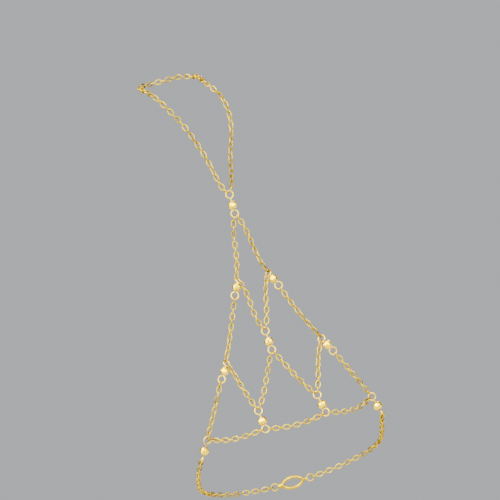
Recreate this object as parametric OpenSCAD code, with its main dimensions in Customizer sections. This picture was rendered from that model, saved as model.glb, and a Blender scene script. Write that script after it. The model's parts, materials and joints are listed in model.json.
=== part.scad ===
// A hand chain bracelet, in millimetres. The origin is the middle of the wrist, level with the lowest
// chain of the net. X runs across the hand, Y from its back to its palm and Z towards the fingers.

/* [Beads] */
// Diameter of a bead
bead_d = 3; // [2.8:0.1:3.3]
// Facets round a bead
bead_facets = 12; // [8:1:12]
// Bore of a bead
bead_bore_d = 0.8; // [0.7:0.05:1]

/* [Eye pins] */
// Wire of an eye
eye_wire_d = 0.48; // [0.44:0.02:0.54]
// Opening of an eye
eye_bore_d = 1.85; // [1.75:0.05:2.1]
// Wire of a pin inside its bead
shank_d = 0.44; // [0.36:0.02:0.44]
// Bare wire above a bead that hangs
pin_neck = 0.7; // [0.3:0.1:1]

/* [Chain] */
// Length of a link
link_l = 2.72; // [2.66:0.02:2.78]
// Width of a link
link_w = 1.94; // [1.88:0.02:2]
// Wire of a link
link_wire_d = 0.43; // [0.38:0.01:0.44]
// Play where one link pulls on another
play = 0.135; // [0.12:0.005:0.15]
// Links from an eye to where the chain lies flat
settle_links = 6; // [5:1:10]

/* [Hand] */
// Width of the wrist inside the chains
wrist_w = 64; // [60:1:68]
// From the middle of the wrist to the chains on its back
wrist_back = 23.5; // [21:0.5:26]
// From the middle of the wrist to the chain on its palm side
wrist_palm = 17.3; // [16:0.1:20]
// How far the wrist chain hangs below the net
wrist_fall = 22.6; // [20:0.1:26]
// Length of the net, from its lowest chain to its top bead
net_l = 72; // [69:0.5:76]

/* [Finger] */
// Width of the finger loop
finger_d = 19; // [17:0.5:21]
// From the middle of the wrist to the finger loop, along the hand
finger_rise = 115; // [112:1:120]
// How far the finger lies to the side of the middle of the hand
finger_side = 8.2; // [6:0.2:10]

/* [Clasp] */
// Length of the clasp's hook
hook_l = 8; // [7:0.5:9]
// Width of the clasp's hook
hook_w = 4.6; // [4:0.2:5.4]
// Thickness of the clasp's hook
hook_wire_d = 1.1; // [0.9:0.1:1.3]
// Diameter of the clasp's barrel
barrel_d = 1.8; // [1.5:0.1:2.2]
// From the hook to the middle of an eye of the clasp
clasp_reach = 2.2; // [2:0.1:2.6]

/* [Hidden] */
$fn = 24;
// Steps along a curved path, and rings and sides of the tube that stands for the finger chain
path_steps = 24;
tube_rings = 45;
tube_sides = 8;
// Space between a bead and the wire that rounds its end, and between the tube and a link
bead_gap = 0.1;
tube_gap = 0.15;
// The finger chain's own thickness as a tube
tube_d = 1.4;

// The hand under the chains. Height is a share of net_l, half_width of wrist_w / 2 and depth of
// wrist_back. A section is a round-cornered oval, and edge is the widest share of it that holds a chain.
// columns: height, half_width, depth
SECTIONS = [
    [-0.55, 0.97, 0.98],
    [0.00, 1.00, 1.00],
    [0.28, 1.03, 0.87],
    [0.63, 1.09, 0.79],
    [1.00, 1.16, 0.745],
    [1.60, 1.25, 0.68],
];
section_power = 3;
edge = 0.999;

// The two eyes of a pin
UPPER = 0;
LOWER = 1;

// The beads that the wrist chains hang from
LEFT_BEAD = 9;
RIGHT_BEAD = 10;

// The beads. Across is a share of wrist_w / 2 and up of net_l. Lean turns a pin in the plane of the
// net and tip sinks its upper end, bend sinks the upper eye alone, and the rolls turn the eyes about
// the pin, all in degrees. Neck is the share of pin_neck above the bead.
// columns: across, up, lean, tip, bend, upper_roll, lower_roll, neck
BEADS = [
    [0.000, 0.988, 0, 3, 0, 0, 0, 1],
    [-0.174, 0.634, -29, 8, 52, 20, 0, 0],
    [0.198, 0.629, 24, 8, 52, -20, 0, 0],
    [-0.010, 0.367, 3, 10, 0, 0, 0, 1],
    [-0.511, 0.293, -34, 0, 45, 15, 30, 0],
    [0.549, 0.286, 28, -4, 45, -15, 0, 0],
    [-0.289, 0.041, 4, 18, 0, 0, 0, 1],
    [0.327, 0.040, 9, 20, 0, 0, 30, 1],
    [-0.897, -0.026, -30, -5, 0, 20, 90, 1],
    [0.902, -0.040, 17, -5, 0, 0, 90, 1],
];
ACROSS = 0;
UP = 1;
LEAN = 2;
TIP = 3;
BEND = 4;
UPPER_ROLL = 5;
LOWER_ROLL = 6;
NECK = 7;

// The runs of chain between the beads, each from an eye of one bead to an eye of another. The bows
// are the angles by which the chain leaves the straight line at its two ends, to the right of its way.
// columns: from, from_eye, to, to_eye, bow_from, bow_to
RUNS = [
    [1, LOWER, 2, UPPER, 11, -12],
    [1, LOWER, 3, UPPER, -11, 13],
    [2, LOWER, 5, UPPER, 0, -4],
    [3, LOWER, 6, UPPER, 4, 4],
    [5, LOWER, 9, UPPER, 0, 0],
    [6, LOWER, 10, UPPER, 0, 0],
    [2, UPPER, 4, UPPER, -8, 12],
    [3, UPPER, 4, UPPER, 7, -5],
    [5, UPPER, 7, UPPER, -1, 4],
    [6, UPPER, 8, UPPER, 9, -1],
    [4, LOWER, 7, UPPER, 0, -6],
    [4, LOWER, 8, UPPER, 3, 6],
    [9, UPPER, 7, LOWER, 16, 11],
    [7, LOWER, 8, LOWER, 12, 12],
    [8, LOWER, 10, UPPER, 18, 24],
];
FROM = 0;
FROM_EYE = 1;
TO = 2;
TO_EYE = 3;
BOW_FROM = 4;
BOW_TO = 5;

// Each wrist chain's route from its bead to the clasp. Across is a share of wrist_w / 2, deep of
// wrist_back ahead of the middle and of wrist_palm behind it, and down of wrist_fall.
// columns: across, deep, down
LEFT_ROUTE = [
    [-0.990, -0.40, 0.38],
    [-1.005, -0.15, 0.55],
    [-0.975, 0.17, 0.70],
    [-0.860, 0.57, 0.82],
    [-0.640, 0.85, 0.92],
    [-0.375, 0.98, 0.98],
];
RIGHT_ROUTE = [
    [0.928, -0.38, 0.42],
    [0.934, -0.13, 0.58],
    [0.915, 0.20, 0.71],
    [0.805, 0.57, 0.83],
    [0.610, 0.85, 0.92],
    [0.375, 0.98, 0.98],
];

// The finger chain's route, from the top bead's upper eye round the finger and back. Across and deep
// are shares of finger_d / 2 from the middle of the loop, and along goes from the eye to the loop.
// columns: across, deep, along
FINGER_ROUTE = [
    [0.65, -1.20, 0.09],
    [0.40, -1.19, 0.34],
    [0.02, -1.16, 0.59],
    [-0.31, -1.10, 0.74],
    [-0.62, -0.93, 0.87],
    [-0.88, -0.52, 0.96],
    [-1.00, 0.00, 1.00],
    [-0.86, 0.58, 1.03],
    [-0.46, 0.94, 1.04],
    [0.00, 1.04, 1.04],
    [0.46, 0.94, 1.04],
    [0.88, 0.58, 1.01],
    [1.04, 0.00, 0.98],
    [1.10, -0.48, 0.93],
    [1.25, -0.88, 0.86],
    [1.44, -1.08, 0.78],
    [1.56, -1.16, 0.65],
    [1.50, -1.18, 0.50],
    [1.24, -1.20, 0.30],
    [1.04, -1.20, 0.09],
];

// Where the finger goes through its loop, and how deep it lies from the middle of the wrist
finger_deep = -6;
FINGER_AXIS = [-finger_side, finger_deep];
WRIST_AXIS = [0, 0];

// A bead's outline as shares of its diameter
bead_end = 0.43 * bead_d;
bead_end_r = 0.22 * bead_d;
bead_shoulder = 0.30 * bead_d;
bead_shoulder_r = 0.41 * bead_d;
bead_band = 0.11 * bead_d;

// Middle line of an eye and of a link, and how far round its end each half of a link's end arc goes
eye_r = (eye_bore_d + eye_wire_d) / 2;
link_half_l = (link_l - link_wire_d) / 2;
link_half_w = (link_w - link_wire_d) / 2;
oval_bend = atan2(4, 3);
// From the wire of an eye to the middle of the link in it, and between two links pulled tight
eye_to_link = link_half_l - eye_wire_d / 2 - play - link_wire_d / 2;
pitch = link_l - 2 * link_wire_d - play;

// Directions and curves
function mix(a, b, t) = a + (b - a) * t;
function unit(v) = v / norm(v);
function square_to(v, axis) = unit(v - (v * axis) * axis);
function turned(v, a) = [v[0] * cos(a) - v[1] * sin(a), v[0] * sin(a) + v[1] * cos(a)];
function half_turn(a) = a - 180 * round(a / 180);
function bezier(p, t) =
    mix(
        mix(mix(p[0], p[1], t), mix(p[1], p[2], t), t),
        mix(mix(p[1], p[2], t), mix(p[2], p[3], t), t),
        t
    );
function spline(a, b, c, d, t) =
    b + t / 2 * (c - a + t * (2 * a - 5 * b + 4 * c - d + t * (3 * (b - c) + d - a)));
function smooth(points) =
    let (last = len(points) - 1)
    concat(
        [
            for (i = [0:last - 1], j = [0:path_steps / 4 - 1])
                spline(
                    points[max(i - 1, 0)], points[i], points[i + 1], points[min(i + 2, last)],
                    4 * j / path_steps
                )
        ],
        [points[last]]
    );

// How deep a chain lies on the hand at one place
function skin_y(x, z) =
    let (
        height = z / net_l,
        half_width = wrist_w / 2 * lookup(height, [for (s = SECTIONS) [s[0], s[1]]]),
        depth = wrist_back * lookup(height, [for (s = SECTIONS) [s[0], s[2]]])
    )
    -depth * pow(1 - pow(min(abs(x) / half_width, edge), section_power), 1 / section_power);
function on_skin(x, z) = [x, skin_y(x, z), z];

// A bead's middle, and the way its pin points, from its upper eye to its lower one
function bead_at(k) = on_skin(BEADS[k - 1][ACROSS] * wrist_w / 2, BEADS[k - 1][UP] * net_l);
function pin_down(k) =
    let (lean = BEADS[k - 1][LEAN], tip = BEADS[k - 1][TIP])
    [sin(lean) * cos(tip), -sin(tip), -cos(lean) * cos(tip)];

// Where a pin's wire meets the ring of an eye, and which way the ring goes on from there
function eye_root(k, end) =
    end == LOWER
        ? bead_at(k) + pin_down(k) * (bead_end + bead_gap + eye_wire_d / 2)
        : bead_at(k) - pin_down(k) * (bead_end + bead_gap + eye_wire_d / 2 + BEADS[k - 1][NECK] * pin_neck);
function eye_out(k, end) =
    let (bend = BEADS[k - 1][BEND])
    end == LOWER ? pin_down(k) : -cos(bend) * pin_down(k) + sin(bend) * square_to([0, 1, 0], pin_down(k));
function eye_at(k, end) = eye_root(k, end) + eye_out(k, end) * eye_r;
// The way through an eye's opening
function eye_through(k, end) =
    let (
        out = eye_out(k, end),
        face = square_to([0, -1, 0], out),
        roll = BEADS[k - 1][end == LOWER ? LOWER_ROLL : UPPER_ROLL]
    )
    cos(roll) * face + sin(roll) * cross(out, face);
// Where on an eye's ring a chain pulls that leaves it in one direction
function seat(at, through, way) = at + eye_r * square_to(way, through);

// The clasp lies behind the wrist, and its eyes open through its thickness
clasp_half = hook_l / 2 + clasp_reach;
clasp_at = [0, wrist_palm, -wrist_fall];
CLASP_THROUGH = [0, 1, 0];
function clasp_eye(side) = clasp_at + [side * clasp_half, 0, 0];

// The middle line of each chain
function run_path(run) =
    let (
        a = eye_at(run[FROM], run[FROM_EYE]),
        b = eye_at(run[TO], run[TO_EYE]),
        leave = turned([b.x - a.x, b.z - a.z], -run[BOW_FROM]),
        reach = turned([b.x - a.x, b.z - a.z], run[BOW_TO]),
        fall = b.y - a.y,
        start = seat(a, eye_through(run[FROM], run[FROM_EYE]), [leave[0], fall, leave[1]]),
        end = seat(b, eye_through(run[TO], run[TO_EYE]), -[reach[0], fall, reach[1]]),
        from = [start.x, start.z],
        to = [end.x, end.z],
        curve = [from, from + leave / 3, to - reach / 3, to],
        lift_a = start.y - skin_y(start.x, start.z),
        lift_b = end.y - skin_y(end.x, end.z)
    )
    [
        for (i = [0:path_steps])
            let (t = i / path_steps, p = bezier(curve, t))
            on_skin(p[0], p[1]) + [0, mix(lift_a, lift_b, t), 0]
    ];
function between(points, eye_a, through_a, eye_b, through_b) =
    let (last = len(points) - 1)
    smooth(concat(
        [seat(eye_a, through_a, points[0] - eye_a)], points, [seat(eye_b, through_b, points[last] - eye_b)]
    ));
function wrist_path(bead, route, side) =
    between(
        [
            for (r = route)
                [r[0] * wrist_w / 2, r[1] * (r[1] < 0 ? wrist_back : wrist_palm), -r[2] * wrist_fall]
        ],
        eye_at(bead, LOWER), eye_through(bead, LOWER), clasp_eye(side), CLASP_THROUGH
    );
finger_path =
    let (eye = eye_at(1, UPPER), through = eye_through(1, UPPER))
    between(
        [
            for (r = FINGER_ROUTE)
                [
                    FINGER_AXIS[0] + r[0] * finger_d / 2,
                    FINGER_AXIS[1] + r[1] * finger_d / 2,
                    mix(eye.z, finger_rise, r[2])
                ]
        ],
        eye, through, eye, through
    );

// Length along a path to each of its points, and the point at a length
function lengths(path) =
    [
        for (
            i = 0, s = 0;
            i < len(path);
            i = i + 1, s = s + (i < len(path) ? norm(path[i] - path[i - 1]) : 0)
        )
            s
    ];
function point_at(path, reached, s) =
    [for (axis = [0:2]) lookup(s, [for (i = [0:len(path) - 1]) [reached[i], path[i][axis]]])];
function way_at(path, reached, s) =
    unit(point_at(path, reached, s + link_half_l) - point_at(path, reached, s - link_half_l));
// Away from the hand or finger that the chain goes round
function away(p, way, axis) = square_to([p.x - axis[0], p.y - axis[1], 0], way);
function angle_round(v, way, out) = atan2(v * cross(way, out), v * out);

// Where each link of a chain lies: its middle, the way it points and the way it is wide. Links lie flat
// and on edge by turns, and the first and last link stand across the eyes that hold them. The links
// next to those share out what is left of the turn.
function places(path, through_a, through_b, axis) =
    let (
        reached = lengths(path),
        room = reached[len(path) - 1] - 2 * eye_to_link,
        gaps = ceil(room / pitch),
        at = [for (i = [0:gaps]) point_at(path, reached, eye_to_link + i * room / gaps)],
        way = [for (i = [0:gaps]) way_at(path, reached, eye_to_link + i * room / gaps)],
        out = [for (i = [0:gaps]) away(at[i], way[i], axis)],
        first = angle_round(square_to(through_a, way[0]), way[0], out[0]),
        last = angle_round(square_to(through_b, way[gaps]), way[gaps], out[gaps]),
        flat = 90 * round(last / 90 - gaps),
        over_a = half_turn(first - flat),
        over_b = half_turn(last - flat - 90 * gaps)
    )
    [
        for (i = [0:gaps])
            let (
                left_a = max(0, 1 - i / settle_links),
                left_b = max(0, 1 - (gaps - i) / settle_links),
                turn = flat + 90 * i + over_a * left_a + over_b * left_b
            )
            [at[i], way[i], cos(turn) * out[i] + sin(turn) * cross(way[i], out[i])]
    ];
function run_places(run) =
    places(
        run_path(run), eye_through(run[FROM], run[FROM_EYE]), eye_through(run[TO], run[TO_EYE]), WRIST_AXIS
    );
function wrist_places(bead, route, side) =
    places(wrist_path(bead, route, side), eye_through(bead, LOWER), CLASP_THROUGH, WRIST_AXIS);
finger_places = places(finger_path, eye_through(1, UPPER), eye_through(1, UPPER), FINGER_AXIS);

RUN_NAMES = [for (run = RUNS) str("chain_", run[FROM], "_", run[TO])];

// Puts its children at a place, with their X and Y along two directions that are square to each other
module placed(at, x, y) {
    z = cross(x, y);
    multmatrix([[x.x, y.x, z.x, at.x], [x.y, y.y, z.y, at.y], [x.z, y.z, z.z, at.z]]) children();
}

module arc(r, wire_d, from, sweep) {
    rotate([0, 0, from])
        rotate_extrude(angle = sweep)
            translate([r, 0])
                circle(d = wire_d);
}

// A ring of wire with a long outline of arcs that run smoothly into each other. Their middles make
// triangles with sides of 3, 4 and 5 steps, and a step is a whole number of microns, so that the arcs
// meet exactly.
module oval(half_l, half_w, wire_d) {
    step = round(500 * (half_l - half_w)) / 1000;
    end_r = half_w - step;
    side_r = end_r + 5 * step;
    for (side = [-1, 1]) {
        for (from = [-oval_bend, 0])
            rotate([0, 0, 90 - 90 * side])
                translate([3 * step, 0])
                    arc(end_r, wire_d, from, oval_bend);
        rotate([0, 0, 90 - 90 * side])
            translate([0, -4 * step])
                arc(side_r, wire_d, oval_bend, 180 - 2 * oval_bend);
    }
}

module ring(wire_d, middle_r) {
    rotate_extrude()
        translate([middle_r, 0])
            circle(d = wire_d);
}

module link(place) {
    placed(place[0], place[1], place[2])
        oval(link_half_l, link_half_w, link_wire_d);
}

module chain(links) {
    color("gold")
        for (place = links)
            link(place);
}

module bead(k) {
    down = pin_down(k);
    color("goldenrod")
        placed(bead_at(k), square_to([1, 0, 0], down), cross(-down, square_to([1, 0, 0], down)))
            difference() {
                rotate_extrude($fn = bead_facets)
                    polygon([
                        [0, -bead_end],
                        [bead_end_r, -bead_end],
                        [bead_shoulder_r, -bead_shoulder],
                        [bead_d / 2, -bead_band],
                        [bead_d / 2, bead_band],
                        [bead_shoulder_r, bead_shoulder],
                        [bead_end_r, bead_end],
                        [0, bead_end],
                    ]);
                cylinder(h = 2 * bead_d, d = bead_bore_d, center = true);
            }
}

module eye_pin(k) {
    down = pin_down(k);
    top = eye_root(k, UPPER);
    color("darkgoldenrod") {
        for (end = [UPPER, LOWER])
            placed(eye_at(k, end), eye_out(k, end), cross(eye_through(k, end), eye_out(k, end)))
                ring(eye_wire_d, eye_r);
        placed(top, square_to([1, 0, 0], down), cross(down, square_to([1, 0, 0], down)))
            cylinder(h = norm(eye_root(k, LOWER) - top), d = shank_d);
    }
}

module clasp() {
    barrel_l = clasp_reach - eye_r + hook_wire_d / 2;
    color("gold")
        translate(clasp_at)
            rotate([90, 0, 0]) {
                oval((hook_l - hook_wire_d) / 2, (hook_w - hook_wire_d) / 2, hook_wire_d);
                for (side = [-1, 1]) {
                    translate([side * clasp_half, 0])
                        ring(eye_wire_d, eye_r);
                    translate([side * (clasp_half - eye_r), 0])
                        rotate([0, -90 * side, 0])
                            cylinder(h = barrel_l, d = side < 0 ? barrel_d : eye_wire_d * 2);
                }
            }
}

module finger_chain() {
    reached = lengths(finger_path);
    first = eye_to_link + link_l / 2 + tube_gap;
    length = reached[len(reached) - 1] - 2 * first;
    points = [
        for (i = [0:tube_rings - 1], j = [0:tube_sides - 1])
            let (
                s = first + length * i / (tube_rings - 1),
                p = point_at(finger_path, reached, s),
                way = way_at(finger_path, reached, s),
                out = away(p, way, FINGER_AXIS),
                turn = 360 * j / tube_sides
            )
            p + tube_d / 2 * (cos(turn) * out + sin(turn) * cross(way, out))
    ];
    sides = [
        for (i = [0:tube_rings - 2], j = [0:tube_sides - 1])
            let (a = i * tube_sides + j, b = i * tube_sides + (j + 1) % tube_sides)
            [a, a + tube_sides, b + tube_sides, b]
    ];
    start_cap = [for (j = [0:tube_sides - 1]) j];
    end_cap = [for (j = [tube_sides - 1:-1:0]) (tube_rings - 1) * tube_sides + j];
    color("gold")
        polyhedron(points, concat([start_cap], sides, [end_cap]), convexity = 10);
}

for (k = [1:len(BEADS)])
    bead(k);
for (k = [1:len(BEADS)])
    eye_pin(k);
for (i = [0:len(RUNS) - 1])
    chain(run_places(RUNS[i]));
chain(wrist_places(LEFT_BEAD, LEFT_ROUTE, -1));  // wrist_chain_left
chain(wrist_places(RIGHT_BEAD, RIGHT_ROUTE, 1));  // wrist_chain_right
clasp();
finger_chain();
chain([finger_places[0]]);  // finger_link_left
chain([finger_places[len(finger_places) - 1]]);  // finger_link_right
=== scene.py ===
"""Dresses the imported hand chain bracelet: its links, beads, eye pins, clasp and studio.

The frame holds the jewel as plain solids. Each link, bead and eye is measured there and made
again in the same place, smooth and finished. The links of the finger chain are laid along the
tube that stands for them. All lengths are in metres.
"""

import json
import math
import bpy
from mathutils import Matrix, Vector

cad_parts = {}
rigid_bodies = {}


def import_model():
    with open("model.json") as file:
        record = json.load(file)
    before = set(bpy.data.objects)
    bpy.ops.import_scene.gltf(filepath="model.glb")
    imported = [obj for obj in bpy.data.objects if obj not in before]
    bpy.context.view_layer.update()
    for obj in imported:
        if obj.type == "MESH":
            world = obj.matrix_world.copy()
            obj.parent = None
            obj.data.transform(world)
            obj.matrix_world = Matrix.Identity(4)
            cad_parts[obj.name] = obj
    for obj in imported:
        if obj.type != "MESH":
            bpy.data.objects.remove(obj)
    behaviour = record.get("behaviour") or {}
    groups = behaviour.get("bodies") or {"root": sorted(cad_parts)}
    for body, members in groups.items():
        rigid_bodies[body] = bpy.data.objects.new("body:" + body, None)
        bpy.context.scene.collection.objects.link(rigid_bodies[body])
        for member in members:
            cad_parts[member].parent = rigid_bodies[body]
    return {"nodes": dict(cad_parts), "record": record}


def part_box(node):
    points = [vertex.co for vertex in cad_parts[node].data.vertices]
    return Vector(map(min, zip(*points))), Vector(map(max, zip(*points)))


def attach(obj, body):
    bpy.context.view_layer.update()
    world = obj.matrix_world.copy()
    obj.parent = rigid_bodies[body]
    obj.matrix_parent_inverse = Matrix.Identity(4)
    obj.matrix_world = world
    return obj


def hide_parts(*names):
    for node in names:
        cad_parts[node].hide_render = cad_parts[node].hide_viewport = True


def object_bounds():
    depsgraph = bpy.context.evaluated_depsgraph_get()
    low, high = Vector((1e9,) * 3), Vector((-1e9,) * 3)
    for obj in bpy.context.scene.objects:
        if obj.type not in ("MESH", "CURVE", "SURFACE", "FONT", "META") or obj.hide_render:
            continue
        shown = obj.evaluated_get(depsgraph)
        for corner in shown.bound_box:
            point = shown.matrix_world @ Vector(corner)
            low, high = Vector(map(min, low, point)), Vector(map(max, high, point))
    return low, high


bl_info = {
    "name": "Hand Chain Bracelet",
    "version": (1, 0, 0),
    "blender": (4, 5, 0),
    "location": "View3D > Sidebar > Hand Chain",
    "description": "Makes the links, beads, eye pins, clasp and studio of a gold hand chain",
    "category": "Add Mesh",
}

import bmesh
import bpy
import numpy as np
from bpy.props import FloatProperty, FloatVectorProperty, IntProperty, PointerProperty
from mathutils import Matrix, Vector

for leftover in list(bpy.data.objects):
    bpy.data.objects.remove(leftover)
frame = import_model()
cad_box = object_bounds()

MM = 0.001
MICRON = 0.000001

# The pieces of the frame
BEADS = sorted(name for name in frame["nodes"] if name.startswith("bead_"))
EYE_PINS = sorted(name for name in frame["nodes"] if name.startswith("eye_pin_"))
NET_CHAINS = sorted(name for name in frame["nodes"] if name.startswith("chain_"))
WRIST_CHAINS = ["wrist_chain_left", "wrist_chain_right"]
FINGER_TUBE = "finger_chain"
FINGER_ENDS = ["finger_link_left", "finger_link_right"]
CLASP = "clasp"
BODY = "root"


# Measuring the frame


def merged(node):
    """Corners and triangles of a CAD node, with the corners that coincide made one."""
    mesh = frame["nodes"][node].data
    mesh.calc_loop_triangles()
    corners = np.empty(3 * len(mesh.vertices), np.float32)
    mesh.vertices.foreach_get("co", corners)
    triangles = np.empty(3 * len(mesh.loop_triangles), np.int32)
    mesh.loop_triangles.foreach_get("vertices", triangles)
    unique, same = np.unique(corners.reshape(-1, 3), axis=0, return_inverse=True)
    return unique.astype(float), same.reshape(-1)[triangles].reshape(-1, 3)


def loose_parts(node):
    """Corners and triangles of each loose part of a CAD node."""
    corners, triangles = merged(node)
    part = np.arange(len(corners))
    while True:
        lowest = part.copy()
        np.minimum.at(lowest, triangles.ravel(), np.repeat(part[triangles].min(axis=1), 3))
        lowest = lowest[lowest]
        if np.array_equal(lowest, part):
            break
        part = lowest
    owner = part[triangles[:, 0]]
    return [(corners, triangles[owner == number]) for number in np.unique(owner)]


def middle_and_axes(corners, triangles):
    """Middle of a surface, its main directions with the longest first, and its size along each."""
    faces = corners[triangles]
    area = np.linalg.norm(np.cross(faces[:, 1] - faces[:, 0], faces[:, 2] - faces[:, 0]), axis=1)
    middles = faces.mean(axis=1)
    middle = np.average(middles, axis=0, weights=area)
    spread = (middles - middle).T @ ((middles - middle) * area[:, None])
    axes = np.linalg.eigh(spread)[1][:, ::-1].T
    along = (faces.reshape(-1, 3) - middle) @ axes.T
    return middle, axes, np.ptp(along, axis=0)


def unit(v):
    return v / np.linalg.norm(v)


def square_to(v, axis):
    return unit(v - (v @ axis) * axis)


def box_middle(node):
    low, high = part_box(node)
    return np.array((low + high) / 2)


LINK_SIZE = middle_and_axes(*merged(FINGER_ENDS[0]))[2].round(5)
BEAD_SIZE = middle_and_axes(*merged(BEADS[0]))[2].round(5)


# What a user would change


class HandChainLinks(bpy.types.PropertyGroup):
    """Sizes of the chain's links"""

    length: FloatProperty(
        name="Link Length", description="Length of a link over its wire", default=LINK_SIZE[0],
        min=0.5 * MM, subtype="DISTANCE", unit="LENGTH", precision=6,
    )
    width: FloatProperty(
        name="Link Width", description="Width of a link over its wire", default=LINK_SIZE[1],
        min=0.5 * MM, subtype="DISTANCE", unit="LENGTH", precision=6,
    )
    wire: FloatProperty(
        name="Link Wire", description="Thickness of a link's wire", default=LINK_SIZE[2],
        min=0.1 * MM, subtype="DISTANCE", unit="LENGTH", precision=6,
    )
    play: FloatProperty(
        name="Play", description="Free play where one link pulls on another", default=0.135 * MM,
        min=0, subtype="DISTANCE", unit="LENGTH", precision=6,
    )
    settle: IntProperty(
        name="Settle", description="Links from an eye to where the chain lies flat", default=6,
        min=1, max=20,
    )
    outline_points: IntProperty(
        name="Outline Points", description="Points round the outline of a link", default=16, min=10, max=32,
    )
    wire_sides: IntProperty(
        name="Wire Sides", description="Sides of the wire of a link", default=6, min=5, max=12,
    )
    slack: FloatProperty(
        name="Slack Turn", description="How far a link may roll by chance", default=math.radians(3),
        min=0, max=math.radians(10), subtype="ANGLE", unit="ROTATION",
    )
    seed: IntProperty(name="Seed", description="Seed of the links' chance roll and tone", default=5)


class HandChainBeads(bpy.types.PropertyGroup):
    """Cut of the beads and bend of their pins"""

    facets: IntProperty(
        name="Facets", description="Facets round a bead in each row", default=12, min=8, max=16,
    )
    facet_edge: FloatProperty(
        name="Facet Edge", description="Width of the bright edge between two facets", default=12 * MICRON,
        min=0, subtype="DISTANCE", unit="LENGTH", precision=6,
    )
    bore: FloatProperty(
        name="Bore", description="Diameter of the hole through a bead", default=0.8 * MM,
        min=0.5 * MM, subtype="DISTANCE", unit="LENGTH", precision=6,
    )
    pin_wire: FloatProperty(
        name="Pin Wire", description="Thickness of a pin inside its bead", default=0.44 * MM,
        min=0.2 * MM, subtype="DISTANCE", unit="LENGTH", precision=6,
    )
    eye_gap: FloatProperty(
        name="Eye Gap", description="Gap between the end of an eye's wire and its neck", default=0.03 * MM,
        min=0, subtype="DISTANCE", unit="LENGTH", precision=6,
    )


class HandChainFinish(bpy.types.PropertyGroup):
    """Colours of the gold"""

    bright: FloatVectorProperty(
        name="Bright Gold", description="Colour of the polished plating", default=(0.52, 0.37, 0.001),
        size=3, min=0, max=1, subtype="COLOR",
    )
    # Painted shade: the darker copy of the plating on the links and clasp, a random tone that also stands
    # in for shade
    deep_tone_and_shade: FloatVectorProperty(
        name="Deep Gold", description="Colour of the plating where it is warmer",
        default=(0.22, 0.14, 0.001), size=3, min=0, max=1, subtype="COLOR",
    )
    # The eye pins' own colour, and on the beads a painted shade that the facets take in patches
    pin_gold_and_facet_shade: FloatVectorProperty(
        name="Warm Gold", description="Colour of the eye pins, and of a facet where it is warmer",
        default=(0.80, 0.54, 0.002), size=3, min=0, max=1, subtype="COLOR",
    )
    pale: FloatVectorProperty(
        name="Pale Gold", description="Colour of a fresh cut facet", default=(1.00, 0.73, 0.002),
        size=3, min=0, max=1, subtype="COLOR",
    )


class HandChainStudio(bpy.types.PropertyGroup):
    """Camera, lights and floor"""

    camera_distance: FloatProperty(
        name="Camera Distance", description="From the camera to its aim", default=0.7,
        min=0.3, subtype="DISTANCE", unit="LENGTH",
    )
    field: FloatProperty(
        name="Field", description="Width of what the picture shows at that distance", default=0.159,
        min=0.05, subtype="DISTANCE", unit="LENGTH",
    )
    camera_turn: FloatProperty(
        name="Camera Turn", description="How far the camera stands to the left",
        default=math.radians(7.65), subtype="ANGLE", unit="ROTATION",
    )
    camera_roll: FloatProperty(
        name="Camera Roll", description="How far the jewel leans in the picture", default=math.radians(15),
        subtype="ANGLE", unit="ROTATION",
    )
    backdrop: FloatVectorProperty(
        name="Backdrop", description="Colour behind the jewel", default=(0.50, 0.51, 0.53),
        size=3, min=0, max=1, subtype="COLOR",
    )
    backdrop_glow: FloatProperty(
        name="Backdrop Glow", description="Brightness of what is behind the jewel", default=1.0, min=0,
    )
    key_power: FloatProperty(
        name="Key Light", description="Power of the main light", default=10, min=0, unit="POWER",
    )


class HandChainSettings(bpy.types.PropertyGroup):
    """All settings of the hand chain"""

    links: PointerProperty(type=HandChainLinks)
    beads: PointerProperty(type=HandChainBeads)
    finish: PointerProperty(type=HandChainFinish)
    studio: PointerProperty(type=HandChainStudio)


# Materials


class Nodes:
    """Adds nodes to a tree, a call for each"""

    def __init__(self, tree):
        self.tree = tree

    def add(self, kind, inputs=None, **values):
        node = self.tree.nodes.new(kind)
        for name, value in values.items():
            setattr(node, name, value)
        for socket, value in (inputs or {}).items():
            if isinstance(value, bpy.types.NodeSocket):
                self.tree.links.new(value, node.inputs[socket])
            else:
                node.inputs[socket].default_value = value
        return node

    def link(self, start, end):
        self.tree.links.new(start, end)


def ramp(nodes, factor, stops):
    """A colour ramp with a stop for each place and colour."""
    node = nodes.add("ShaderNodeValToRGB", {"Fac": factor})
    elements = node.color_ramp.elements
    while len(elements) < len(stops):
        elements.new(0.5)
    for element, (place, colour) in zip(elements, stops):
        element.position = place
        element.color = (*colour, 1)
    return node.outputs["Color"]


# What plating reflects at a low angle, which keeps its edges warm
EDGE_GOLD = (0.95, 0.66, 0.01)
# Patches take the darker copy of the gold wholly below the first value of their noise, and the lit colour
# wholly above the second. The darker copy is a random tone and also a painted shade.
SHADE_BELOW, LIGHT_ABOVE = 0.30, 0.62
# What share of a link's tone, and so of its painted shade, is its own
OWN_TONE = 0.5
# The values of a fine noise between which its grain shows
GRAIN_SPAN = (0.3, 0.7)
POLISH_BUMP = 0.25
POLISH_DEPTH = 4 * MICRON
# About how far apart the diagonal bands of a wave texture lie at a scale of 1
BAND_SPACING = 0.36


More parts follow.
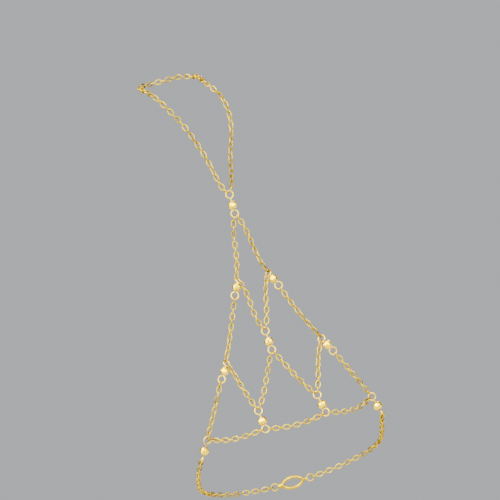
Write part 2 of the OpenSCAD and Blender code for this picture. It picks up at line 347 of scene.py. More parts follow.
def gold(name, light, tone_and_shade, smoothest, roughest, patch, grain, marks=None, tone=False):
    """Plated gold. Over patches it turns from its lit colour to a darker copy, which is random tone and
    painted shade, and its polish has a fine grain. Marks is how far apart the lines of a cutter lie, and
    tone is for links that differ from each other."""
    material = bpy.data.materials.new(name)
    material.use_nodes = True
    material.node_tree.nodes.clear()
    nodes = Nodes(material.node_tree)
    place = nodes.add("ShaderNodeTexCoord").outputs["Object"]
    patches = nodes.add(
        "ShaderNodeTexNoise", {"Vector": place, "Scale": 1 / patch, "Detail": 3, "Roughness": 0.6}
    ).outputs["Fac"]
    if tone:
        own = nodes.add("ShaderNodeAttribute", attribute_name="tone").outputs["Fac"]
        patches = nodes.add(
            "ShaderNodeMix", {"Factor": OWN_TONE, "A": patches, "B": own}
        ).outputs["Result"]
    # Painted shade: the patches, and each link's own tone, pick between the lit colour and its darker copy
    colour = ramp(nodes, patches, [(SHADE_BELOW, tone_and_shade), (LIGHT_ABOVE, light)])
    fine = nodes.add(
        "ShaderNodeTexNoise", {"Vector": place, "Scale": 1 / grain, "Detail": 2, "Roughness": 0.55}
    ).outputs["Fac"]
    roughness = nodes.add(
        "ShaderNodeMapRange",
        {
            "Value": fine, "From Min": GRAIN_SPAN[0], "From Max": GRAIN_SPAN[1],
            "To Min": smoothest, "To Max": roughest,
        },
    ).outputs["Result"]
    height = fine
    if marks:
        lines = nodes.add(
            "ShaderNodeTexWave",
            {"Vector": place, "Scale": BAND_SPACING / marks, "Distortion": 1.5, "Detail": 1},
            bands_direction="DIAGONAL",
        ).outputs["Fac"]
        height = nodes.add("ShaderNodeMath", {0: fine, 1: lines}, operation="ADD").outputs["Value"]
    bump = nodes.add(
        "ShaderNodeBump", {"Strength": POLISH_BUMP, "Distance": POLISH_DEPTH, "Height": height}
    )
    shader = nodes.add(
        "ShaderNodeBsdfPrincipled",
        {
            "Base Color": colour, "Metallic": 1.0, "Roughness": roughness, "Specular Tint": (*EDGE_GOLD, 1),
            "Normal": bump.outputs["Normal"],
        },
    )
    nodes.add("ShaderNodeOutputMaterial", {"Surface": shader.outputs["BSDF"]})
    return material


def link_gold():
    """The drawn wire of the chains, a tone of its own for each link, turning in patches to a painted shade
    """
    finish = bpy.context.scene.hand_chain.finish
    return bpy.data.materials.get("gold_links") or gold(
        "gold_links", finish.bright, finish.deep_tone_and_shade, smoothest=0.10, roughest=0.26,
        patch=1.2 * MM, grain=0.09 * MM, tone=True,
    )


def bead_gold():
    """Facets cut bright by a tool, which leaves its fine lines. In patches they turn to a painted shade"""
    finish = bpy.context.scene.hand_chain.finish
    return bpy.data.materials.get("gold_beads") or gold(
        "gold_beads", finish.pale, finish.pin_gold_and_facet_shade, smoothest=0.06, roughest=0.16,
        patch=0.8 * MM, grain=0.12 * MM, marks=0.36 * MM,
    )


def pin_gold():
    """The thicker polished wire of the eye pins, which in patches turns to the plating's colour as a
    painted shade
    """
    finish = bpy.context.scene.hand_chain.finish
    return bpy.data.materials.get("gold_eye_pins") or gold(
        "gold_eye_pins", finish.pin_gold_and_facet_shade, finish.bright, smoothest=0.08, roughest=0.20,
        patch=1.6 * MM, grain=0.10 * MM,
    )


def clasp_gold():
    """The cast and tumbled clasp, turning in patches to a painted shade"""
    finish = bpy.context.scene.hand_chain.finish
    return bpy.data.materials.get("gold_clasp") or gold(
        "gold_clasp", finish.bright, finish.deep_tone_and_shade, smoothest=0.12, roughest=0.28,
        patch=2.5 * MM, grain=0.16 * MM,
    )


# Making pieces


def new_piece(name, mesh, material=None):
    piece = bpy.data.objects.new(name, mesh)
    bpy.context.scene.collection.objects.link(piece)
    if material and not mesh.materials:
        mesh.materials.append(material)
    return piece


def stand_for(piece, slot, *nodes):
    """The piece rides on the body and stands for CAD nodes, which are hidden. The slot is not used."""
    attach(piece, BODY)
    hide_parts(*nodes)


def link_tree():
    """Geometry Nodes that lay an oval link of round wire at each point, along its way and wide vectors."""
    name = "Cable Links"
    if name in bpy.data.node_groups:
        return bpy.data.node_groups[name]
    tree = bpy.data.node_groups.new(name, "GeometryNodeTree")
    tree.interface.new_socket("Geometry", in_out="OUTPUT", socket_type="NodeSocketGeometry")
    for label, kind in (
        ("Geometry", "Geometry"), ("Link Length", "Float"), ("Link Width", "Float"), ("Link Wire", "Float"),
        ("Outline Points", "Int"), ("Wire Sides", "Int"), ("Slack Turn", "Float"), ("Seed", "Int"),
        ("Material", "Material"),
    ):
        tree.interface.new_socket(label, in_out="INPUT", socket_type="NodeSocket" + kind)
    nodes = Nodes(tree)
    given = nodes.add("NodeGroupInput").outputs

    def half_less_wire(size):
        inside = nodes.add("ShaderNodeMath", {0: given[size], 1: given["Link Wire"]}, operation="SUBTRACT")
        return nodes.add("ShaderNodeMath", {0: inside.outputs[0], 1: 0.5}, operation="MULTIPLY").outputs[0]

    outline = nodes.add(
        "GeometryNodeCurvePrimitiveCircle", {"Resolution": given["Outline Points"], "Radius": 1.0}
    )
    reach = nodes.add(
        "ShaderNodeCombineXYZ", {"X": half_less_wire("Link Length"), "Y": half_less_wire("Link Width")}
    )
    stretched = nodes.add(
        "ShaderNodeVectorMath",
        {0: nodes.add("GeometryNodeInputPosition").outputs[0], 1: reach.outputs[0]},
        operation="MULTIPLY",
    )
    oval = nodes.add(
        "GeometryNodeSetPosition", {"Geometry": outline.outputs["Curve"], "Position": stretched.outputs[0]}
    )
    wire_r = nodes.add("ShaderNodeMath", {0: given["Link Wire"], 1: 0.5}, operation="MULTIPLY")
    wire = nodes.add(
        "GeometryNodeCurvePrimitiveCircle", {"Resolution": given["Wire Sides"], "Radius": wire_r.outputs[0]}
    )
    link = nodes.add(
        "GeometryNodeCurveToMesh",
        {"Curve": oval.outputs["Geometry"], "Profile Curve": wire.outputs["Curve"]},
    )
    way = nodes.add("GeometryNodeInputNamedAttribute", {"Name": "way"}, data_type="FLOAT_VECTOR")
    wide = nodes.add("GeometryNodeInputNamedAttribute", {"Name": "wide"}, data_type="FLOAT_VECTOR")
    lie = nodes.add(
        "FunctionNodeAxesToRotation",
        {"Primary Axis": way.outputs["Attribute"], "Secondary Axis": wide.outputs["Attribute"]},
        primary_axis="X", secondary_axis="Y",
    )
    least = nodes.add("ShaderNodeMath", {0: given["Slack Turn"], 1: -1.0}, operation="MULTIPLY")
    chance = nodes.add("FunctionNodeRandomValue", {"Seed": given["Seed"]}, data_type="FLOAT")
    nodes.link(least.outputs[0], chance.inputs[2])
    nodes.link(given["Slack Turn"], chance.inputs[3])
    roll = nodes.add(
        "FunctionNodeAxisAngleToRotation", {"Axis": (1, 0, 0), "Angle": chance.outputs[1]}
    )
    turned = nodes.add(
        "FunctionNodeRotateRotation",
        {"Rotation": lie.outputs[0], "Rotate By": roll.outputs[0]},
        rotation_space="LOCAL",
    )
    laid = nodes.add(
        "GeometryNodeInstanceOnPoints",
        {"Points": given["Geometry"], "Instance": link.outputs["Mesh"], "Rotation": turned.outputs[0]},
    )
    # Each link's random tone, which also sets how much of the painted shade it takes
    tone = nodes.add("FunctionNodeRandomValue", {"Seed": given["Seed"]}, data_type="FLOAT")
    toned = nodes.add(
        "GeometryNodeStoreNamedAttribute",
        {"Geometry": laid.outputs["Instances"], "Name": "tone", "Value": tone.outputs[1]},
        domain="INSTANCE", data_type="FLOAT",
    )
    real = nodes.add("GeometryNodeRealizeInstances", {"Geometry": toned.outputs["Geometry"]})
    smooth = nodes.add("GeometryNodeSetShadeSmooth", {"Geometry": real.outputs["Geometry"]})
    golden = nodes.add(
        "GeometryNodeSetMaterial", {"Geometry": smooth.outputs["Geometry"], "Material": given["Material"]}
    )
    nodes.add("NodeGroupOutput", {"Geometry": golden.outputs["Geometry"]})
    return tree


def lay_links(name, places, material):
    """One piece of links, at places given as a middle, a way and a wide direction each."""
    links = bpy.context.scene.hand_chain.links
    middles, ways, wides = (np.array(values, np.float32) for values in zip(*places))
    points = bpy.data.meshes.new(name)
    points.from_pydata(middles.tolist(), [], [])
    for label, values in (("way", ways), ("wide", wides)):
        points.attributes.new(label, "FLOAT_VECTOR", "POINT").data.foreach_set("vector", values.ravel())
    piece = new_piece(name, points)
    modifier = piece.modifiers.new("Links", "NODES")
    modifier.node_group = link_tree()
    items = modifier.node_group.interface.items_tree
    socket = {item.name: item.identifier for item in items if item.in_out == "INPUT"}
    for label, value in (
        ("Link Length", links.length), ("Link Width", links.width), ("Link Wire", links.wire),
        ("Outline Points", links.outline_points), ("Wire Sides", links.wire_sides),
        ("Slack Turn", links.slack), ("Seed", links.seed), ("Material", material),
    ):
        modifier[socket[label]] = value
    depsgraph = bpy.context.evaluated_depsgraph_get()
    piece.data = bpy.data.meshes.new_from_object(piece.evaluated_get(depsgraph), depsgraph=depsgraph)
    piece.data.name = name
    piece.modifiers.clear()
    bpy.data.meshes.remove(points)
    if len(piece.data.polygons) != len(places) * links.outline_points * links.wire_sides:
        raise RuntimeError(name + " doesn't have all its links")
    return piece


def link_places(node):
    """Where each link of a CAD chain lies: its middle, the way it points and the way it is wide."""
    found = [middle_and_axes(*part) for part in loose_parts(node)]
    return [(middle, axes[0], axes[1]) for middle, axes, _ in found]


def dress_chain(node):
    piece = lay_links(node + "_links", link_places(node), link_gold())
    stand_for(piece, "chain", node)


# The finger chain, which goes where its tube goes

RIM_ANGLE = math.radians(70)
LINE_STEPS = 8


def tube_line(node, start):
    """Middle of each ring of a CAD tube, from the end that is nearer to start."""
    corners, triangles = merged(node)
    mesh = bpy.data.meshes.new(node + "_line")
    mesh.from_pydata(corners.tolist(), [], triangles.tolist())
    tube = bmesh.new()
    tube.from_mesh(mesh)
    bpy.data.meshes.remove(mesh)
    rim = [edge for edge in tube.edges if edge.calc_face_angle() > RIM_ANGLE]
    nearest = min((v for edge in rim for v in edge.verts), key=lambda v: (v.co - Vector(start)).length)
    ring = {nearest}
    while True:
        wider = ring | {v for edge in rim for v in edge.verts if ring & set(edge.verts)}
        if wider == ring:
            break
        ring = wider
    line = []
    seen = set()
    while ring:
        line.append(np.mean([v.co for v in ring], axis=0))
        seen |= ring
        ring = {edge.other_vert(v) for v in ring for edge in v.link_edges} - seen
    tube.free()
    return line


def smooth_line(points):
    """A curve through the points, as many short straight steps."""
    points = np.array([2 * points[0] - points[1], *points, 2 * points[-1] - points[-2]])
    line = []
    for a, b, c, d in zip(points, points[1:], points[2:], points[3:]):
        for t in np.arange(LINE_STEPS) / LINE_STEPS:
            line.append(b + t / 2 * (c - a + t * (2 * a - 5 * b + 4 * c - d + t * (3 * (b - c) + d - a))))
    return np.array([*line, points[-2]])


def angle_round(v, way, out):
    return math.atan2(v @ np.cross(way, out), v @ out)


def half_turn(angle):
    """The angle less as many half turns as leave the smallest, because a link looks the same after one."""
    return angle - math.pi * round(angle / math.pi)


def places_between(first, last, line, axis):
    """Places of links along a line, from a first to a last one. Links lie flat and on edge by turns round
    an upright axis, and the links next to the first and last one share out what is left of the turn."""
    links = bpy.context.scene.hand_chain.links
    reached = np.concatenate([[0], np.cumsum(np.linalg.norm(np.diff(line, axis=0), axis=1))])
    pitch = links.length - 2 * links.wire - links.play
    gaps = math.ceil(reached[-1] / pitch)
    half = (links.length - links.wire) / 2

    def at(s):
        return np.array([np.interp(s, reached, line[:, k]) for k in range(3)])

    def way_at(s):
        return unit(at(s + half) - at(s - half))

    def out_at(s):
        return square_to((at(s) - axis) * (1, 1, 0), way_at(s))

    def turn_at(place, s):
        return angle_round(square_to(place[2], way_at(s)), way_at(s), out_at(s))

    start, end = turn_at(first, 0), turn_at(last, reached[-1])
    quarter = math.pi / 2
    flat = quarter * round(end / quarter - gaps)
    over_start, over_end = half_turn(start - flat), half_turn(end - flat - quarter * gaps)
    found = [first]
    for i in range(1, gaps):
        s = reached[-1] * i / gaps
        way, out = way_at(s), out_at(s)
        turn = flat + quarter * i
        turn += over_start * max(0, 1 - i / links.settle) + over_end * max(0, 1 - (gaps - i) / links.settle)
        found.append((at(s), way, math.cos(turn) * out + math.sin(turn) * np.cross(way, out)))
    return [*found, last]


# Beads

# Where a bead's flat ends are, as a share of its radius
BEAD_END = 0.86
BALL_SEGMENTS = 48
DRILL_SIDES = 24
# Rows of facets as a height angle, the share of a step by which they are offset, and how deep they are
# cut as a share of the radius
FACET_ROWS = [
    (0, 0.0, 0.036),
    (32, 0.0, 0.040),
    (60, 0.5, 0.050),
]


def cut_ball(radius, facets, edge_width):
    """A ball with rows of flat facets on both halves, and its ends cut off. The bore runs along Z."""
    ball = bmesh.new()
    bmesh.ops.create_uvsphere(ball, u_segments=BALL_SEGMENTS, v_segments=BALL_SEGMENTS // 2, radius=radius)
    planes = [(Vector((0, 0, side)), radius * BEAD_END) for side in (-1, 1)]
    for height, offset, depth in FACET_ROWS:
        for side in (1, -1) if height else (1,):
            for i in range(facets):
                round_z = 2 * math.pi * (i + offset) / facets
                up = math.radians(side * height)
                level = math.cos(up)
                out = Vector((level * math.cos(round_z), level * math.sin(round_z), math.sin(up)))
                planes.append((out, radius * (1 - depth)))
    for face in ball.faces:
        face.smooth = True
    for out, distance in planes:
        cut = bmesh.ops.bisect_plane(
            ball, geom=[*ball.verts, *ball.edges, *ball.faces], plane_co=out * distance, plane_no=out,
            clear_outer=True,
        )
        rim = [part for part in cut["geom_cut"] if isinstance(part, bmesh.types.BMEdge)]
        for facet in bmesh.ops.contextual_create(ball, geom=rim)["faces"]:
            facet.smooth = False
            for edge in facet.edges:
                edge.smooth = False
    bmesh.ops.dissolve_degenerate(ball, dist=MICRON, edges=ball.edges)
    sharp = [edge for edge in ball.edges if not edge.smooth]
    if edge_width:
        bmesh.ops.bevel(ball, geom=sharp, offset=edge_width, segments=1, affect="EDGES", clamp_overlap=True)
    mesh = bpy.data.meshes.new("cut_ball")
    ball.to_mesh(mesh)
    ball.free()
    return mesh


def drilled(mesh, bore, length):
    """The mesh with a round hole along Z."""
    drill_shape = bmesh.new()
    bmesh.ops.create_cone(
        drill_shape, cap_ends=True, segments=DRILL_SIDES, radius1=bore / 2, radius2=bore / 2,
        depth=length,
    )
    drill_mesh = bpy.data.meshes.new("drill")
    drill_shape.to_mesh(drill_mesh)
    drill_shape.free()
    drill, body = new_piece("drill", drill_mesh), new_piece("drilled", mesh)
    hole = body.modifiers.new("Bore", "BOOLEAN")
    hole.operation, hole.solver, hole.object = "DIFFERENCE", "EXACT", drill
    depsgraph = bpy.context.evaluated_depsgraph_get()
    result = bpy.data.meshes.new_from_object(body.evaluated_get(depsgraph), depsgraph=depsgraph)
    for used in (drill, body):
        bpy.data.objects.remove(used)
    for used in (drill_mesh, mesh):
        bpy.data.meshes.remove(used)
    return result


def bead_lie(node, pin):
    """Where a bead lies: its middle, with Z along its pin."""
    middle = box_middle(node)
    lower = eyes_of(pin, middle)[1]
    along = Vector(unit(middle - lower["middle"]))
    return Matrix.Translation(Vector(middle)) @ along.to_track_quat("Z", "Y").to_matrix().to_4x4()


# Eye pins

RING_STEPS = 30
NECK_STEPS = 6
# The neck of an eye bends from this far down the pin to this far round the ring. Its curve reaches along
# both by a share of the first
NECK_START = 0.28 * MM
NECK_TURN = math.radians(34)
NECK_REACH = 0.8
PIN_SIDES = 12
# Share of the radius of a wire by which its ends are chamfered
CHAMFER = 0.2
# A side that no wire starts along
ANY_SIDE = np.array([0.3, 0.9, 0.2])
# Points of a pin further from its bead's middle than this share of the bead belong to an eye
EYE_FROM = 0.45
# Rounds of the fit of an eye, and how far off its wire a point still counts, as a share of the radius
FIT_ROUNDS = 8
FIT_BAND = 0.25
# The first keeps a side off the way through an eye, the second picks the root that is nearer the bead
NUDGE = 0.01
NEARER = 0.05


def fitted_eye(points):
    """Middle, way through, radius and wire of the round eye that most of the points lie on."""
    near = points
    for _ in range(FIT_ROUNDS):
        middle = near.mean(axis=0)
        side_a, side_b, through = np.linalg.svd(near - middle, full_matrices=False)[2]
        a, b = (near - middle) @ side_a, (near - middle) @ side_b
        terms = np.stack([2 * a, 2 * b, np.ones(len(near))], axis=1)
        shift = np.linalg.lstsq(terms, a ** 2 + b ** 2, rcond=None)[0]
        middle = middle + shift[0] * side_a + shift[1] * side_b
        offset = points - middle
        level = offset @ through
        reach = np.linalg.norm(offset - np.outer(level, through), axis=1)
        radius = math.sqrt(shift[0] ** 2 + shift[1] ** 2 + shift[2])
        from_wire = np.hypot(reach - radius, level)
        wire_r = np.median(from_wire)
        near = points[np.abs(from_wire - wire_r) < FIT_BAND * wire_r]
    return {"middle": middle, "through": through, "radius": radius, "wire": 2 * wire_r}


def eyes_of(pin, bead_middle):
    """The upper and the lower eye of a CAD pin, each with the root where its ring meets the pin."""
    corners, triangles = merged(pin)
    axes = middle_and_axes(corners, triangles)[1]
    up = axes[0] * math.copysign(1, axes[0][2])
    height = (corners - bead_middle) @ up
    clear = BEAD_SIZE[2] * EYE_FROM
    upper, lower = fitted_eye(corners[height > clear]), fitted_eye(corners[height < -clear])
    along = unit(bead_middle - lower["middle"])
    turns = np.radians(np.arange(0, 360, 1.0))
    for eye in (upper, lower):
        side = square_to(along + NUDGE, eye["through"])
        ring = eye["middle"] + eye["radius"] * (
            np.outer(np.cos(turns), side) + np.outer(np.sin(turns), np.cross(eye["through"], side))
        )
        level = (ring - bead_middle) @ along
        off = np.linalg.norm(ring - bead_middle - np.outer(level, along), axis=1)
        eye["root"] = bead_middle + along * level[np.argmin(off + NEARER * np.abs(level))]
    return upper, lower


def eye_line(eye, bead_middle, gap):
    """Middle line of an eye's wire, from its neck round to its free end."""
    out = square_to(eye["middle"] - eye["root"], eye["through"])
    side = np.cross(eye["through"], out)
    radius = eye["radius"]
    down_pin = unit(bead_middle - eye["root"])

    def ring(turn):
        return eye["middle"] - radius * math.cos(turn) * out + radius * math.sin(turn) * side

    def ring_way(turn):
        return math.sin(turn) * out + math.cos(turn) * side

    start = eye["root"] + NECK_START * down_pin
    end = ring(NECK_TURN)
    reach = NECK_START * NECK_REACH
    curve = [start, start - reach * down_pin, end - reach * ring_way(NECK_TURN), end]
    line = []
    for t in np.arange(NECK_STEPS) / NECK_STEPS:
        line.append(
            (1 - t) ** 3 * curve[0] + 3 * t * (1 - t) ** 2 * curve[1]
            + 3 * t ** 2 * (1 - t) * curve[2] + t ** 3 * curve[3]
        )
    end_turn = 2 * math.pi - (eye["wire"] / 2 + gap) / radius
    line += [ring(turn) for turn in np.linspace(NECK_TURN, end_turn, RING_STEPS)]
    return line


def swept(name, line, radii, sides):
    """A round wire along a line, closed at both ends with a small chamfer."""
    line = np.array(line)
    ways = np.gradient(line, axis=0)
    ways /= np.linalg.norm(ways, axis=1)[:, None]
    line = np.vstack([line[0], line, line[-1]])
    ways = np.vstack([ways[0], ways, ways[-1]])
    radii = np.concatenate([[(1 - CHAMFER) * radii[0]], radii, [(1 - CHAMFER) * radii[-1]]])
    line[1] += CHAMFER * radii[1] * ways[0]
    line[-2] -= CHAMFER * radii[-2] * ways[-1]
    wire = bmesh.new()
    across = square_to(ANY_SIDE, ways[0])
    rings = []
    for point, way, radius in zip(line, ways, radii):
        across = square_to(across, way)
        other = np.cross(way, across)
        turns = 2 * math.pi * np.arange(sides) / sides
        outward = [math.cos(turn) * across + math.sin(turn) * other for turn in turns]
        rings.append([wire.verts.new(point + radius * out) for out in outward])
    for a, b in zip(rings, rings[1:]):
        for j in range(sides):
            k = (j + 1) % sides
            wire.faces.new((a[j], a[k], b[k], b[j])).smooth = True
    wire.faces.new(rings[0][::-1])
    wire.faces.new(rings[-1])
    mesh = bpy.data.meshes.new(name)
    wire.to_mesh(mesh)
    wire.free()
    return mesh


def pin_mesh(name, pin, bead):
    """One bent wire: from the end of its upper eye through the bead to the end of its lower eye."""
    beads = bpy.context.scene.hand_chain.beads
    bead_middle = box_middle(bead)
    upper, lower = eyes_of(pin, bead_middle)
    line_up = eye_line(upper, bead_middle, beads.eye_gap)
    line_down = eye_line(lower, bead_middle, beads.eye_gap)
    wire_up = [beads.pin_wire / 2] + [upper["wire"] / 2] * (len(line_up) - 1)
    wire_down = [beads.pin_wire / 2] + [lower["wire"] / 2] * (len(line_down) - 1)
    return swept(
        name, line_up[::-1] + [bead_middle] + line_down, wire_up[::-1] + [beads.pin_wire / 2] + wire_down,
        PIN_SIDES,
    )


# Operators

# Corners of the clasp that are sharper than this stay sharp
CLASP_CORNER = math.radians(35)


class HANDCHAIN_OT_net_chains(bpy.types.Operator):
    """Make the links of the net between the beads"""

    bl_idname = "handchain.net_chains"
    bl_label = "Net Chains"

    def execute(self, context):
        for node in NET_CHAINS:
            dress_chain(node)
        return {"FINISHED"}


class HANDCHAIN_OT_wrist_chains(bpy.types.Operator):
    """Make the links of the two wrist chains"""

    bl_idname = "handchain.wrist_chains"
    bl_label = "Wrist Chains"

    def execute(self, context):
        for node in WRIST_CHAINS:
            dress_chain(node)
        return {"FINISHED"}


class HANDCHAIN_OT_finger_chain(bpy.types.Operator):
    """Make the links of the finger chain, along the tube that stands for them"""

    bl_idname = "handchain.finger_chain"
    bl_label = "Finger Chain"

    def execute(self, context):
        first, last = (link_places(node)[0] for node in FINGER_ENDS)
        line = smooth_line([first[0], *tube_line(FINGER_TUBE, first[0]), last[0]])
        mounts = {mount["name"]: mount for mount in frame["record"]["mounts"]}
        axis = np.array(mounts["finger"]["pos_m"])
        places = places_between(first, last, line, axis)
        piece = lay_links("finger_chain_links", places, link_gold())
        stand_for(piece, "chain", FINGER_TUBE, *FINGER_ENDS)
        return {"FINISHED"}


class HANDCHAIN_OT_beads(bpy.types.Operator):
    """Cut and drill the faceted beads"""

    bl_idname = "handchain.beads"
    bl_label = "Beads"

    def execute(self, context):
        beads = context.scene.hand_chain.beads
        radius = BEAD_SIZE[0] / 2
        ball = drilled(cut_ball(radius, beads.facets, beads.facet_edge), beads.bore, 4 * radius)
        for node, pin in zip(BEADS, EYE_PINS):
            mesh = ball.copy()
            mesh.name = node + "_cut"
            mesh.transform(bead_lie(node, pin))
            stand_for(new_piece(node + "_cut", mesh, bead_gold()), "bead", node)
        bpy.data.meshes.remove(ball)
        return {"FINISHED"}


class HANDCHAIN_OT_eye_pins(bpy.types.Operator):
    """Bend the wire of each eye pin"""

    bl_idname = "handchain.eye_pins"
    bl_label = "Eye Pins"

    def execute(self, context):
        for bead, pin in zip(BEADS, EYE_PINS):
            name = pin + "_wire"
            stand_for(new_piece(name, pin_mesh(name, pin, bead), pin_gold()), "eye_pin", pin)
        return {"FINISHED"}


class HANDCHAIN_OT_clasp(bpy.types.Operator):
    """Make the plain clasp that joins the wrist chains"""

    bl_idname = "handchain.clasp"
    bl_label = "Clasp"

    def execute(self, context):
        corners, triangles = merged(CLASP)
        mesh = bpy.data.meshes.new("clasp_cast")
        mesh.from_pydata(corners.tolist(), [], triangles.tolist())
        mesh.shade_smooth()
        mesh.set_sharp_from_angle(angle=CLASP_CORNER)
        stand_for(new_piece("clasp_cast", mesh, clasp_gold()), "clasp", CLASP)
        return {"FINISHED"}


# Studio

FLOOR_DROP = 0.25
FLOOR_RADIUS = 1.6
FADE_FROM = 0.25 * FLOOR_RADIUS
FADE_TO = 0.95 * FLOOR_RADIUS
FLOOR_SIDES = 96
# Scale of the floor's grain, and how dark it gets as a share of the floor's colour
FLOOR_GRAIN = 40.0
FLOOR_SHADE = 0.97
# In millimetres, the unit that a camera takes it in
SENSOR_WIDTH = 36
# The point that the camera is aimed at: how far across, up and away from the origin it lies. The plane
# through it has the field's width
PICTURE_ACROSS = 4.04 * MM
PICTURE_UP = 55.93 * MM
PICTURE_DEEP = -17 * MM


def photo_camera(studio):
    """A camera at the photograph's angle."""
    data = bpy.data.cameras.new("camera")
    data.sensor_width = SENSOR_WIDTH
    data.lens = data.sensor_width * studio.camera_distance / studio.field
    data.clip_start, data.clip_end = 0.01, 20
    camera = bpy.data.objects.new("camera", data)
    bpy.context.scene.collection.objects.link(camera)
    turn = Matrix.Rotation(-studio.camera_turn, 3, "Z")
    right, away = turn @ Vector((1, 0, 0)), turn @ Vector((0, 1, 0))
    up = Vector((0, 0, 1))
    lean = studio.camera_roll
    picture_right = math.cos(lean) * right - math.sin(lean) * up
    picture_up = math.sin(lean) * right + math.cos(lean) * up
    place = PICTURE_ACROSS * right + (PICTURE_DEEP - studio.camera_distance) * away + PICTURE_UP * up
    facing = Matrix((picture_right, picture_up, -away)).transposed()
    camera.matrix_world = Matrix.Translation(place) @ facing.to_4x4()
    bpy.context.scene.camera = camera


def floor_material(colour):
    """Pale matt floor that fades out round its edge."""
    material = bpy.data.materials.new("pale_floor")
    material.use_nodes = True
    material.node_tree.nodes.clear()
    nodes = Nodes(material.node_tree)
    place = nodes.add("ShaderNodeTexCoord").outputs["Object"]
    reach = nodes.add("ShaderNodeVectorMath", {0: place}, operation="LENGTH").outputs["Value"]
    fade = nodes.add(
        "ShaderNodeMapRange",
        {"Value": reach, "From Min": FADE_FROM, "From Max": FADE_TO, "To Min": 0.0, "To Max": 1.0},
        interpolation_type="SMOOTHSTEP",
    ).outputs["Result"]
    grain = nodes.add("ShaderNodeTexNoise", {"Vector": place, "Scale": FLOOR_GRAIN, "Detail": 2})
    shade = [FLOOR_SHADE * c for c in colour]
    paper = ramp(nodes, grain.outputs["Fac"], [(GRAIN_SPAN[0], shade), (GRAIN_SPAN[1], colour)])
    matt = nodes.add("ShaderNodeBsdfDiffuse", {"Color": paper})
    clear = nodes.add("ShaderNodeBsdfTransparent")
    mixed = nodes.add("ShaderNodeMixShader", {0: fade, 1: matt.outputs[0], 2: clear.outputs[0]})
    nodes.add("ShaderNodeOutputMaterial", {"Surface": mixed.outputs[0]})
    return material


def area_light(name, place, aim, size, power, colour):
    data = bpy.data.lights.new(name, "AREA")
    data.shape, data.size, data.size_y = "RECTANGLE", size[0], size[1]
    data.energy, data.color = power, colour
    light = bpy.data.objects.new(name, data)
    bpy.context.scene.collection.objects.link(light)
    light.location = place
    light.rotation_euler = (Vector(aim) - Vector(place)).to_track_quat("-Z", "Y").to_euler()
    light.visible_camera = False


# The side that the surround is bright on, and its light from the far side to that one
LIT_SIDE = Vector((-0.30, -0.88, 0.37))
GLOW = [
    (0.0, 1.2), (0.12, 0.8), (0.25, 0.22), (0.40, 0.20), (0.54, 1.4), (0.68, 3.8), (0.85, 5.6), (1.0, 6.0),
]
# Patches in that light: their scale, the span of their noise, and the light of the darkest and brightest
PATCH_SCALE = 2.2
PATCH_SPAN = (0.38, 0.62)
PATCH_LIGHT = (0.35, 2.1)
# Name, place from the middle of the jewel, width and height, share of the key light's power, colour
LIGHTS = [
    ("key", (-0.45, -0.75, 0.75), (0.5, 0.35), 1.0, (1.0, 0.98, 0.95)),
    ("fill", (0.85, -0.5, 0.15), (0.35, 0.9), 0.35, (0.96, 0.98, 1.0)),
    ("rim", (0.25, 0.85, 0.55), (0.7, 0.25), 0.5, (1.0, 1.0, 1.0)),
    ("low", (-0.7, 0.1, -0.25), (0.2, 0.8), 0.2, (1.0, 0.98, 0.96)),
]


def studio_world(colour, glow_behind):
    """A plain surround for the camera, and a patchy one with a bright side that the gold reflects."""
    world = bpy.data.worlds.new("studio")
    bpy.context.scene.world = world
    world.use_nodes = True
    world.node_tree.nodes.clear()
    nodes = Nodes(world.node_tree)
    direction = nodes.add("ShaderNodeTexCoord").outputs["Generated"]
    lit = nodes.add("ShaderNodeVectorMath", {0: direction, 1: LIT_SIDE}, operation="DOT_PRODUCT")
    share = nodes.add(
        "ShaderNodeMapRange", {"Value": lit.outputs["Value"], "From Min": -1.0, "From Max": 1.0}
    ).outputs[0]
    glow = ramp(nodes, share, [(place, (light, light, light)) for place, light in GLOW])
    room = nodes.add("ShaderNodeTexNoise", {"Vector": direction, "Scale": PATCH_SCALE, "Detail": 1})
    patchy = nodes.add(
        "ShaderNodeMapRange",
        {
            "Value": room.outputs["Fac"], "From Min": PATCH_SPAN[0], "From Max": PATCH_SPAN[1],
            "To Min": PATCH_LIGHT[0], "To Max": PATCH_LIGHT[1],
        },
    ).outputs["Result"]
    seen = nodes.add("ShaderNodeLightPath").outputs["Is Camera Ray"]
    behind = nodes.add("ShaderNodeBackground", {"Color": (*colour, 1), "Strength": glow_behind})
    around = nodes.add("ShaderNodeBackground", {"Color": glow, "Strength": patchy})
    mixed = nodes.add("ShaderNodeMixShader", {0: seen, 1: around.outputs[0], 2: behind.outputs[0]})
    nodes.add("ShaderNodeOutputWorld", {"Surface": mixed.outputs[0]})


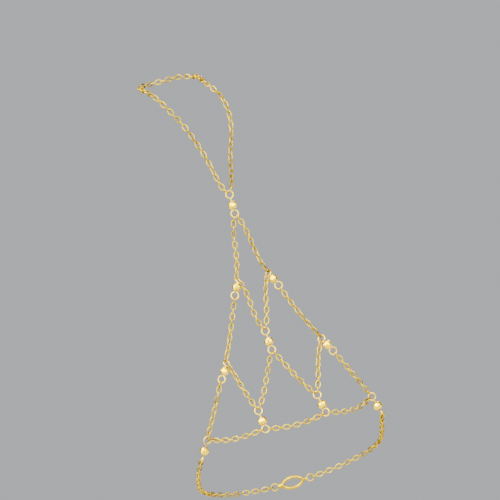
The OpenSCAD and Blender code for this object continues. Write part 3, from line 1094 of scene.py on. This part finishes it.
class HANDCHAIN_OT_stage(bpy.types.Operator):
    """Set up the camera, the lights and the pale floor"""

    bl_idname = "handchain.stage"
    bl_label = "Studio"

    def execute(self, context):
        studio = context.scene.hand_chain.studio
        photo_camera(studio)
        low, high = cad_box
        floor_shape = bmesh.new()
        bmesh.ops.create_circle(floor_shape, cap_ends=True, segments=FLOOR_SIDES, radius=FLOOR_RADIUS)
        mesh = bpy.data.meshes.new("floor")
        floor_shape.to_mesh(mesh)
        floor_shape.free()
        floor = new_piece("floor", mesh, floor_material(studio.backdrop))
        floor.location = (0, 0, low.z - FLOOR_DROP)
        aim = (low + high) / 2
        for name, place, size, share, colour in LIGHTS:
            area_light(name, aim + Vector(place), aim, size, share * studio.key_power, colour)
        studio_world(studio.backdrop, studio.backdrop_glow)
        return {"FINISHED"}


class HANDCHAIN_PT_panel(bpy.types.Panel):
    """Settings and steps of the hand chain"""

    bl_idname = "HANDCHAIN_PT_panel"
    bl_label = "Hand Chain"
    bl_space_type = "VIEW_3D"
    bl_region_type = "UI"
    bl_category = "Hand Chain"

    def draw(self, context):
        settings = context.scene.hand_chain
        for title, group in (
            ("Links", settings.links), ("Beads and pins", settings.beads),
            ("Gold", settings.finish), ("Studio", settings.studio),
        ):
            box = self.layout.box()
            box.label(text=title)
            for name in group.__annotations__:
                box.prop(group, name)
        for operator in OPERATORS:
            self.layout.operator(operator.bl_idname)


OPERATORS = (
    HANDCHAIN_OT_net_chains,
    HANDCHAIN_OT_wrist_chains,
    HANDCHAIN_OT_finger_chain,
    HANDCHAIN_OT_beads,
    HANDCHAIN_OT_eye_pins,
    HANDCHAIN_OT_clasp,
    HANDCHAIN_OT_stage,
)
CLASSES = (
    HandChainLinks,
    HandChainBeads,
    HandChainFinish,
    HandChainStudio,
    HandChainSettings,
    *OPERATORS,
    HANDCHAIN_PT_panel,
)


def register():
    for cls in CLASSES:
        bpy.utils.register_class(cls)
    bpy.types.Scene.hand_chain = PointerProperty(type=HandChainSettings)


def unregister():
    del bpy.types.Scene.hand_chain
    for cls in reversed(CLASSES):
        bpy.utils.unregister_class(cls)


def main():
    register()
    bpy.ops.handchain.stage()
    bpy.ops.handchain.net_chains()
    bpy.ops.handchain.wrist_chains()
    bpy.ops.handchain.finger_chain()
    bpy.ops.handchain.beads()
    bpy.ops.handchain.eye_pins()
    bpy.ops.handchain.clasp()


if __name__ == "__main__":
    main()
